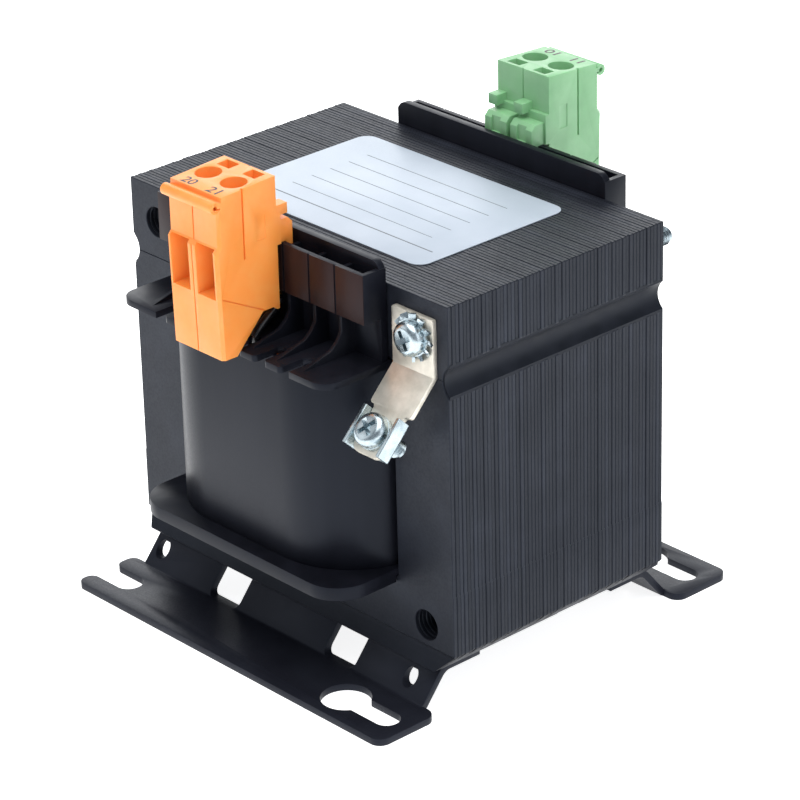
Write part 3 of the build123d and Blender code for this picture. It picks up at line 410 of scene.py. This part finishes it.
def mouldedNylon(name, colours, deep):
    # unfilled nylon with pigment, injection moulded: satin, light spreads a little inside it,
    # and narrow places glow with its own colour; its fine spark is drawn coarse enough to show
    material, shader, where = startMaterial(name, {
        "Roughness": 0.42, "IOR": 1.53, "Subsurface Weight": 0.22,
        "Subsurface Radius": deep, "Subsurface Scale": 1.4 * mm,
    })
    cloud = addNode(
        material, "ShaderNodeTexNoise", {"Scale": perMetre(5.0), "Detail": 3.0},
        {"Vector": (where, "Object")},
    )
    spark = addNode(
        material, "ShaderNodeTexNoise", {"Scale": perMetre(0.22), "Detail": 3.0},
        {"Vector": (where, "Object")},
    )
    colour = addNode(
        material, "ShaderNodeValToRGB", {"stops": [(0.3, colours[0]), (0.7, colours[1])]},
        {"Fac": (cloud, "Fac")},
    )
    roughness = addNode(
        material, "ShaderNodeMapRange",
        {"From Min": 0.3, "From Max": 0.7, "To Min": 0.36, "To Max": 0.5},
        {"Value": (spark, "Fac")},
    )
    bump = addNode(
        material, "ShaderNodeBump", {"Distance": 0.006 * mm, "Strength": 0.7},
        {"Height": (spark, "Fac")},
    )
    wireUp(material, shader, {
        "Base Color": (colour, "Color"), "Roughness": (roughness, "Result"),
        "Normal": (bump, "Normal"),
    })
    return material


def platedSteel(name, colours, rough, marksWidth, stretch, metallic=1.0):
    # steel or brass, stamped or turned, then plated: bright, with marks along the way it was
    # rolled or cut
    material, shader, where = startMaterial(name, {"Metallic": metallic, "Roughness": rough})
    drawn = addNode(
        material, "ShaderNodeMapping", {"Scale": stretch}, {"Vector": (where, "Object")})
    marks = addNode(
        material, "ShaderNodeTexNoise",
        {"Scale": perMetre(marksWidth), "Detail": 4.0, "Roughness": 0.6},
        {"Vector": (drawn, "Vector")},
    )
    cloud = addNode(
        material, "ShaderNodeTexNoise", {"Scale": perMetre(2.5), "Detail": 3.0},
        {"Vector": (where, "Object")},
    )
    colour = addNode(
        material, "ShaderNodeValToRGB", {"stops": [(0.32, colours[0]), (0.68, colours[1])]},
        {"Fac": (cloud, "Fac")},
    )
    roughness = addNode(
        material, "ShaderNodeMapRange",
        {"From Min": 0.3, "From Max": 0.7, "To Min": rough - 0.08, "To Max": rough + 0.12},
        {"Value": (marks, "Fac")},
    )
    bump = addNode(
        material, "ShaderNodeBump", {"Distance": 0.015 * mm, "Strength": 0.5},
        {"Height": (marks, "Fac")},
    )
    wireUp(material, shader, {
        "Base Color": (colour, "Color"), "Roughness": (roughness, "Result"),
        "Normal": (bump, "Normal"),
    })
    return material


def enamelledWire():
    # copper wire in clear brown enamel, wound layer on layer: fine rings round the coil, their dark
    # part painted shade in the grooves between turns
    material, shader, where = startMaterial(
        "enamelledCopperWire", {"Metallic": 0.8, "Roughness": 0.3})
    rings = addNode(
        material, "ShaderNodeTexWave",
        {"bands_direction": "Z", "Scale": bandsPerMetre(1.085), "Distortion": 0.4},
        {"Vector": (where, "Object")},
    )
    # painted shade: each ring darkens towards the groove between neighbouring turns
    colour = addNode(
        material, "ShaderNodeValToRGB", {"stops": [(0.1, "#5A2A16"), (0.6, "#A85C34")]},
        {"Fac": (rings, "Fac")},
    )
    bump = addNode(
        material, "ShaderNodeBump", {"Distance": 0.3 * mm, "Strength": 0.8},
        {"Height": (rings, "Fac")},
    )
    wireUp(material, shader, {"Base Color": (colour, "Color"), "Normal": (bump, "Normal")})
    return material


def silverLabel():
    # silver polyester film with a matt overlay: pale blue-grey, almost no texture
    material, shader, where = startMaterial(
        "silverPolyesterLabel", {"Roughness": 0.42, "Metallic": 0.15, "IOR": 1.5})
    cloud = addNode(
        material, "ShaderNodeTexNoise", {"Scale": perMetre(12.0), "Detail": 2.0},
        {"Vector": (where, "Object")},
    )
    fine = addNode(
        material, "ShaderNodeTexNoise", {"Scale": perMetre(0.25), "Detail": 2.0},
        {"Vector": (where, "Object")},
    )
    colour = addNode(
        material, "ShaderNodeValToRGB", {"stops": [(0.3, "#A9B4C1"), (0.7, "#B3BDC9")]},
        {"Fac": (cloud, "Fac")},
    )
    roughness = addNode(
        material, "ShaderNodeMapRange",
        {"From Min": 0.3, "From Max": 0.7, "To Min": 0.38, "To Max": 0.5},
        {"Value": (fine, "Fac")},
    )
    bump = addNode(
        material, "ShaderNodeBump", {"Distance": 0.004 * mm, "Strength": 0.5},
        {"Height": (fine, "Fac")},
    )
    wireUp(material, shader, {
        "Base Color": (colour, "Color"), "Roughness": (roughness, "Result"),
        "Normal": (bump, "Normal"),
    })
    return material


def cloudedTone(name, colour, rough):
    # a thin or hidden surface: one tone, clouded down to a shade 12% darker
    material, shader, where = startMaterial(name, {"Roughness": rough})
    cloud = addNode(
        material, "ShaderNodeTexNoise", {"Scale": perMetre(1.5), "Detail": 2.0},
        {"Vector": (where, "Object")},
    )
    darker = "#" + "".join("%02X" % int(int(colour[i:i + 2], 16) * 0.88) for i in (1, 3, 5))
    tone = addNode(
        material, "ShaderNodeValToRGB", {"stops": [(0.3, darker), (0.7, colour)]},
        {"Fac": (cloud, "Fac")},
    )
    wireUp(material, shader, {"Base Color": (tone, "Color")})
    return material


print("materials")
sheetFinish = varnishedSheets()
footFinish = paintedFoot()
bobbinFinish = blackNylon()
coverFinish = filmCover()
orangeFinish = mouldedNylon("mouldedOrangeNylon", ("#FF963E", "#FFA04E"), (1.0, 0.35, 0.12))
greenFinish = mouldedNylon("mouldedGreenNylon", ("#80B685", "#8CC090"), (0.4, 1.0, 0.45))
# tin on the strap is warm and dull, blue passivated zinc on the screws is bright and cold
strapFinish = platedSteel(
    "tinPlatedStrap", ("#D2CDC0", "#E8E2D6"), 0.46, 0.4, (1, 1, 1), metallic=0.7)
zincFinish = platedSteel("bluePassivatedZinc", ("#A3B2B9", "#C0CDD3"), 0.26, 0.5, (1, 1, 1))
cageFinish = platedSteel("zincPlatedCage", ("#A9AEB2", "#C4C8CB"), 0.32, 0.6, (1, 1, 0.3))
brassFinish = platedSteel("tinnedBrassContact", ("#B8A878", "#CDBE8E"), 0.3, 0.6, (1, 1, 0.3))
wireFinish = enamelledWire()
foilFinish = cloudedTone("yellowPolyesterFoil", "#B9A24A", 0.35)  # film tape: glossy, straw yellow
labelFinish = silverLabel()
sleeveFinish = cloudedTone("varnishedGlassSleeve", "#17171B", 0.22)  # varnished braid: wet black
seamFinish = varnishedBead()
inkFinish = cloudedTone("printedInk", "#4A3E42", 0.5)  # pad printed: matt brown-black
ruleFinish = cloudedTone("printedRules", "#5C626C", 0.5)  # screen printed: matt mid grey

finishes = {
    "e_laminations": sheetFinish, "i_laminations": sheetFinish, "weld_seams": seamFinish,
    "front_foot": footFinish, "rear_foot": footFinish, "bobbin": bobbinFinish,
    "primary_winding": wireFinish, "secondary_winding": wireFinish, "insulation_foil": foilFinish,
    "coil_cover": coverFinish, "rating_label": labelFinish, "earth_strap": strapFinish,
    "star_washer": zincFinish, "earth_screw": zincFinish, "earth_nut": zincFinish,
    "clamp_plate": zincFinish, "spring_washer": zincFinish, "strap_clamp_screw": zincFinish,
    "front_terminal_housing": orangeFinish, "rear_terminal_housing": greenFinish,
    "front_clamp_cages": cageFinish, "rear_clamp_cages": cageFinish,
    "front_clamp_screws": zincFinish, "rear_clamp_screws": zincFinish,
    "front_contacts": brassFinish, "rear_contacts": brassFinish,
    "front_lead_wires": sleeveFinish, "rear_lead_wires": sleeveFinish,
}

for name, material in finishes.items():
    for holder in nodes[name].material_slots:
        holder.material = material
    if not nodes[name].material_slots:
        nodes[name].data.materials.append(material)


def dress(piece, material):
    piece.data.materials.clear()
    piece.data.materials.append(material)


def clearPick():
    bpy.ops.object.select_all(action="DESELECT")


def alone(piece):
    clearPick()
    bpy.context.view_layer.objects.active = piece
    piece.select_set(True)


def applyAll(piece):
    alone(piece)
    for modifier in list(piece.modifiers):
        bpy.ops.object.modifier_apply(modifier=modifier.name)


def moveMesh(piece, place, tilt=0):
    # moves the mesh itself, in millimetres, after a tilt about X
    shift = Matrix.Translation([v * mm for v in place])
    piece.data.transform(shift @ Matrix.Rotation(radians(tilt), 4, "X"))


def hand(piece, slotName, *replaced):
    # hands a finished piece to the frame
    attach(piece, "root")
    if replaced:
        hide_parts(*replaced)


def slotOf(nodeName):
    for part in frame["record"]["subparts"]:
        if part["node"] == nodeName:
            return part["material_slot"]


def block(low, high):
    # a block between two corners in millimetres, to be shaped further
    clearPick()
    middle = [(a + b) / 2 * mm for a, b in zip(low, high)]
    bpy.ops.mesh.primitive_cube_add(size=1, location=middle)
    piece = bpy.context.active_object
    piece.scale = [(b - a) * mm for a, b in zip(low, high)]
    bpy.ops.object.transform_apply(location=True, rotation=True, scale=True)
    return piece


def rod(radius, low, high, sides):
    # a round bar between the middles of its two ends
    start, end = Vector(low) * mm, Vector(high) * mm
    along = end - start
    clearPick()
    bpy.ops.mesh.primitive_cylinder_add(
        vertices=sides, radius=radius * mm, depth=along.length,
        location=(start + end) / 2, rotation=along.to_track_quat("Z", "Y").to_euler(),
    )
    bpy.ops.object.transform_apply(location=True, rotation=True, scale=True)
    return bpy.context.active_object


def crossRod(radius, x, z, half, sides):
    # a rod along Y, as long on both sides of the middle
    return rod(radius, (x, -half, z), (x, half, z), sides)


def cutAway(piece, tools):
    for tool in tools:
        cut = piece.modifiers.new("cut", "BOOLEAN")
        cut.operation = "DIFFERENCE"
        cut.solver = "EXACT"
        cut.object = tool
        applyAll(piece)
        bpy.data.objects.remove(tool)
    return piece


def bevelWhere(piece, test, width, steps, along=None):
    # bevels the edges whose two ends pass the test, which reads a place in millimetres,
    # and which run along the given way if there is one
    alone(piece)
    bpy.ops.object.mode_set(mode="EDIT")
    bpy.ops.mesh.select_mode(type="EDGE")
    bpy.ops.mesh.select_all(action="DESELECT")
    mesh = bmesh.from_edit_mesh(piece.data)
    for edge in mesh.edges:
        way = (edge.verts[1].co - edge.verts[0].co).normalized()
        held = along is None or abs(way.dot(Vector(along))) > 0.99
        edge.select = held and all(test(corner.co / mm) for corner in edge.verts)
    bmesh.update_edit_mesh(piece.data)
    bpy.ops.mesh.bevel(offset=width * mm, segments=steps, affect="EDGES")
    bpy.ops.object.mode_set(mode="OBJECT")


def softEdges(piece, width, steps=2):
    bevel = piece.modifiers.new("edges", "BEVEL")
    bevel.width = width * mm
    bevel.segments = steps
    bevel.limit_method = "ANGLE"
    bevel.angle_limit = radians(40)
    applyAll(piece)


def oneOf(pieces, name, material, smooth=32):
    # joins the pieces into one and gives it its name and finish
    alone(pieces[0])
    for piece in pieces:
        piece.select_set(True)
    bpy.ops.object.join()
    joined = bpy.context.active_object
    joined.name = name
    bpy.ops.object.shade_smooth_by_angle(angle=radians(smooth))
    dress(joined, material)
    return joined


slack = 0.01  # millimetres that a corner may be off when its place is tested
toolReach = 3.0  # millimetres that a cutting tool reaches each way from a sheet's middle


def widenYoke(plate):
    # the yoke is a hair wider than the legs above it
    alone(plate)
    bpy.ops.object.mode_set(mode="EDIT")
    for z in (core["stepZ"], core["stepZ"] - core["stepHeight"]):
        bpy.ops.mesh.select_all(action="SELECT")
        bpy.ops.mesh.bisect(plane_co=(0, 0, z * mm), plane_no=(0, 0, 1))
    bpy.ops.object.mode_set(mode="OBJECT")
    for corner in plate.data.vertices:
        below = corner.co.z < (core["stepZ"] - 0.1) * mm
        if below and abs(corner.co.x) > core["legInside"] * mm:
            corner.co.x += core["stepOut"] * mm * (1 if corner.co.x > 0 else -1)


def stampedPlate(low, high, holeZ, windows):
    # one sheet with its holes and grooves, and with two windows if it is an E
    half, wide = core["thickness"] / 2, core["halfWidth"]
    groove = core["beadRadius"] + core["grooveRoom"]
    plate = block((-wide, -half, low), (wide, half, high))
    if windows:
        bevelWhere(
            plate, lambda spot: spot.z < low + slack and abs(spot.x) > wide - slack,
            core["cornerCut"], 1)
    tools = []
    for side in (-1, 1):
        tools.append(crossRod(core["holeRadius"], side * core["holeX"], holeZ, toolReach, 28))
        tools.append(crossRod(groove, side * core["grooveX"], core["joint"], toolReach, 40))
        if windows:
            left, right = sorted((side * core["windowInner"], side * core["windowOuter"]))
            tools.append(block(
                (left, -toolReach, core["windowBottom"]), (right, toolReach, core["joint"] + 5)))
    cutAway(plate, tools)
    if windows:
        widenYoke(plate)
    softEdges(plate, core["edge"], 1)
    return plate


def stack(plate, name, nodeName):
    # one plate, copied through the stack, each copy slipped a hair sideways and up
    draw = random.Random(core["seed"])
    slip, lift = core["slip"], core["lift"]
    copies = []
    for n in range(core["sheets"]):
        copy = plate.copy()
        copy.data = plate.data.copy()
        aside = draw.uniform(-slip, slip)
        up = draw.uniform(-lift, lift)
        moveMesh(copy, (aside, core["pitch"] * (n + 0.5) - core["halfStack"], up))
        bpy.context.scene.collection.objects.link(copy)
        copies.append(copy)
    bpy.data.objects.remove(plate)
    hand(oneOf(copies, name, sheetFinish, 20), slotOf(nodeName), nodeName)


print("sheets")
ePlate = stampedPlate(core["bottom"], core["joint"], core["lowerHoleZ"], True)
stack(ePlate, "stackedESheets", "e_laminations")
iPlate = stampedPlate(core["joint"], core["top"], core["upperHoleZ"], False)
stack(iPlate, "stackedISheets", "i_laminations")


def weldBead(side):
    # the hollow bead that joins the E and I sheets along each side
    x, z = side * core["grooveX"], core["joint"]
    half = core["halfStack"] - core["beadShort"]
    bead = crossRod(core["beadRadius"] + core["beadWall"], x, z, half, 64)
    left, right = sorted((side * core["halfWidth"], side * 60))
    return cutAway(bead, [
        crossRod(core["beadRadius"], x, z, 40, 64),
        block((left, -40, z - 8), (right, 40, z + 8)),
    ])


print("weld beads")
beads = oneOf([weldBead(-1), weldBead(1)], "weldBeads", seamFinish)
hand(beads, slotOf("weld_seams"), "weld_seams")


panHead = {
    "radius": 3.6, "height": 2.4, "dome": 1.5, "domeSteps": 7,
    "recessReach": 2.3, "recessHalf": 0.52, "recessFloor": 0.8, "recessTaper": 0.45,
    "shank": 1.66, "root": 1.6, "crest": 1.98, "pitch": 0.7, "tipCut": 0.4,
    "screws": {
        "earthScrewTurned": {
            "node": "earth_screw", "length": 71.26, "threaded": 12.0,
            "place": (40, -31.96, 80.7), "tilt": 90, "turn": 28,
        },
        "clampScrewTurned": {
            "node": "strap_clamp_screw", "length": 9.5, "threaded": 8.4,
            "place": (39, -41.71, 63.58), "tilt": 46, "turn": 52,
        },
    },
}


def recessArm(turn):
    # one tapered slot of the cross recess
    out, half, floor = panHead["recessReach"], panHead["recessHalf"], panHead["recessFloor"]
    arm = block((-out, -half, floor), (out, half, panHead["height"] + 0.3))
    for corner in arm.data.vertices:
        if corner.co.z < (floor + 0.1) * mm:
            corner.co.x *= panHead["recessTaper"]
    arm.data.transform(Matrix.Rotation(radians(turn), 4, "Z"))
    return arm


def thread(length, threaded):
    # one tooth of the thread, wound up the shank by the Screw modifier
    clearPick()
    bpy.ops.mesh.primitive_circle_add(vertices=3, radius=mm)
    tooth = bpy.context.active_object
    foot = -length + panHead["tipCut"]
    half = panHead["pitch"] * 0.47
    root = panHead["root"]
    spots = [(panHead["crest"], foot + half), (root, foot), (root, foot + 2 * half)]
    for corner, (out, up) in zip(tooth.data.vertices, spots):
        corner.co = (out * mm, 0, up * mm)
    winding = tooth.modifiers.new("winding", "SCREW")
    winding.axis = "Z"
    winding.screw_offset = panHead["pitch"] * mm
    winding.iterations = int(threaded / panHead["pitch"])
    winding.steps = winding.render_steps = 20
    applyAll(tooth)
    bpy.ops.object.mode_set(mode="EDIT")
    bpy.ops.mesh.select_all(action="SELECT")
    bpy.ops.mesh.fill_holes(sides=3)
    bpy.ops.mesh.normals_make_consistent(inside=False)
    bpy.ops.object.mode_set(mode="OBJECT")
    return tooth


def panScrew(name, facts):
    # a domed head with its cross recess, a shank with a cut tip and the thread round it
    top, length = panHead["height"], facts["length"]
    head = rod(panHead["radius"], (0, 0, 0), (0, 0, top), 48)
    bevelWhere(head, lambda spot: spot.z > top - slack, panHead["dome"], panHead["domeSteps"])
    cutAway(head, [recessArm(facts["turn"]), recessArm(facts["turn"] + 90)])
    shank = rod(panHead["shank"], (0, 0, -length), (0, 0, 0.2), 32)
    bevelWhere(shank, lambda spot: spot.z < slack - length, panHead["tipCut"], 1)
    winding = thread(length, facts["threaded"])
    screw = oneOf([head, shank, winding], name, zincFinish, 30)
    moveMesh(screw, facts["place"], facts["tilt"])
    hand(screw, "zinc_steel", facts["node"])


print("screws")
for name, facts in panHead["screws"].items():
    panScrew(name, facts)


labelPrint = {
    "top": 88.9, "thick": 0.02, "reach": 26.5, "line": 0.16, "boldLine": 0.3, "boldRow": -13.6,
    "rows": (-8.6, -3.4, 1.8, 7.0, 12.2), "rowReach": 21.0,
}


def labelRule(row, out, line):
    # one printed line, a strip of ink that stands a little proud of the film
    top, thick = labelPrint["top"], labelPrint["thick"]
    return block((-out, row - line / 2, top - thick), (out, row + line / 2, top + thick))


print("label")
rules = [labelRule(row, labelPrint["rowReach"], labelPrint["line"]) for row in labelPrint["rows"]]
rules.append(labelRule(labelPrint["boldRow"], labelPrint["reach"], labelPrint["boldLine"]))
hand(oneOf(rules, "labelRules", ruleFinish), "label_film")


numbers = {
    "near": -50.9, "far": -48.5, "thick": 0.015, "bolder": 0.015,
    "slopeStart": -37.5, "slopeTop": 106.8, "slope": 0.7 / 13.8,  # the fall over the run
    "digits": {
        "number20": {"text": "20", "left": -5.4, "right": -1.8, "turn": 0, "slot": "orange_nylon"},
        "number21": {"text": "21", "left": 2.1, "right": 5.4, "turn": 0, "slot": "orange_nylon"},
        "number11": {"text": "11", "left": -5.1, "right": -2.5, "turn": 180, "slot": "green_nylon"},
        "number10": {"text": "10", "left": 2.0, "right": 5.4, "turn": 180, "slot": "green_nylon"},
    },
}


def printNumber(name, facts):
    # plain pole numbers, printed on the sloping top of each housing
    clearPick()
    bpy.ops.object.text_add()
    text = bpy.context.active_object
    text.data.body = facts["text"]
    text.data.extrude = numbers["thick"]
    text.data.offset = numbers["bolder"]
    bpy.ops.object.convert(target="MESH")
    piece = bpy.context.active_object
    piece.name = name
    corners = piece.data.vertices
    lowX, highX = min(c.co.x for c in corners), max(c.co.x for c in corners)
    lowY, highY = min(c.co.y for c in corners), max(c.co.y for c in corners)
    left, near = facts["left"], numbers["near"]
    for corner in corners:
        x = left + (corner.co.x - lowX) / (highX - lowX) * (facts["right"] - left)
        y = near + (corner.co.y - lowY) / (highY - lowY) * (numbers["far"] - near)
        fall = (numbers["slopeStart"] - y) * numbers["slope"]
        z = numbers["slopeTop"] - fall + corner.co.z
        corner.co = (x * mm, y * mm, z * mm)
    piece.data.transform(Matrix.Rotation(radians(facts["turn"]), 4, "Z"))
    dress(piece, inkFinish)
    hand(piece, facts["slot"])


print("numbers")
for name, facts in numbers["digits"].items():
    printNumber(name, facts)


rounded = {
    # the edge rounding of moulded, folded and turned pieces, in millimetres
    "front_foot": 0.18, "rear_foot": 0.18, "bobbin": 0.14, "rating_label": 0.05,
    "earth_strap": 0.2, "clamp_plate": 0.15, "star_washer": 0.08, "spring_washer": 0.12,
    "earth_nut": 0.15, "front_terminal_housing": 0.22, "rear_terminal_housing": 0.22,
    "front_clamp_cages": 0.1, "rear_clamp_cages": 0.1,
    "front_clamp_screws": 0.1, "rear_clamp_screws": 0.1, "coil_cover": 0.1,
    # sleeves are soft tubes, so they are smoothed all over instead
    "front_lead_wires": 0, "rear_lead_wires": 0,
}

strapNeck = {
    "kneeY": -29.85, "kneeZ": 72.7, "slope": radians(46), "start": 9.5, "off": 0.05,
    "round": 0.75, "steps": 4,
}


def isNeck(spot):
    # true where the strap's arm narrows, measured down the arm from its knee
    ahead = (strapNeck["kneeY"] - spot.y) * cos(strapNeck["slope"])
    below = (strapNeck["kneeZ"] - spot.z) * sin(strapNeck["slope"])
    return abs(ahead + below - strapNeck["start"]) < strapNeck["off"]


def roundedCopy(nodeName, width):
    # a copy of a CAD node, merged, with its edges rounded
    alone(nodes[nodeName])
    bpy.ops.object.duplicate()
    piece = bpy.context.active_object
    for key in list(piece.keys()):
        if key.startswith("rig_"):
            del piece[key]
    piece.parent = None
    words = nodeName.split("_")
    piece.name = words[0] + "".join(word.capitalize() for word in words[1:]) + "Edged"
    if piece.data.has_custom_normals:
        bpy.ops.mesh.customdata_custom_splitnormals_clear()
    bpy.ops.object.mode_set(mode="EDIT")
    bpy.ops.mesh.select_all(action="SELECT")
    bpy.ops.mesh.remove_doubles(threshold=0.002 * mm)
    bpy.ops.mesh.dissolve_limited(angle_limit=radians(0.4))
    bpy.ops.object.mode_set(mode="OBJECT")
    if nodeName == "earth_strap":
        through = (0, -sin(strapNeck["slope"]), cos(strapNeck["slope"]))
        bevelWhere(piece, isNeck, strapNeck["round"], strapNeck["steps"], through)
    if width:
        softEdges(piece, width)
    else:
        smooth = piece.modifiers.new("smooth", "SUBSURF")
        smooth.levels = smooth.render_levels = 2
        applyAll(piece)
    bpy.ops.object.shade_smooth_by_angle(angle=radians(32))
    hand(piece, slotOf(nodeName), nodeName)


print("rounded edges")
for name, width in rounded.items():
    roundedCopy(name, width)


table = {"radius": 4.0, "below": 0.05, "glow": 0.85}


def litTable():
    # a sheet of opal acrylic lit from below, as on a product table: even and almost white
    material, shader, where = startMaterial("litOpalTable", {
        "Roughness": 0.7, "Emission Color": linear("#FFFFFF"), "Emission Strength": table["glow"],
    })
    cloud = addNode(
        material, "ShaderNodeTexNoise", {"Scale": perMetre(400.0), "Detail": 1.0},
        {"Vector": (where, "Object")},
    )
    colour = addNode(
        material, "ShaderNodeValToRGB", {"stops": [(0.3, "#F6F6F6"), (0.7, "#FBFBFB")]},
        {"Fac": (cloud, "Fac")},
    )
    wireUp(material, shader, {"Base Color": (colour, "Color")})
    return material


def makeFloor():
    clearPick()
    bpy.ops.mesh.primitive_circle_add(
        vertices=96, radius=table["radius"], fill_type="NGON",
        location=(0, 0, -table["below"] * mm),
    )
    floor = bpy.context.active_object
    floor.name = "floor"
    dress(floor, litTable())


print("floor, camera and lamps")
makeFloor()
setCamera()
setLamps()
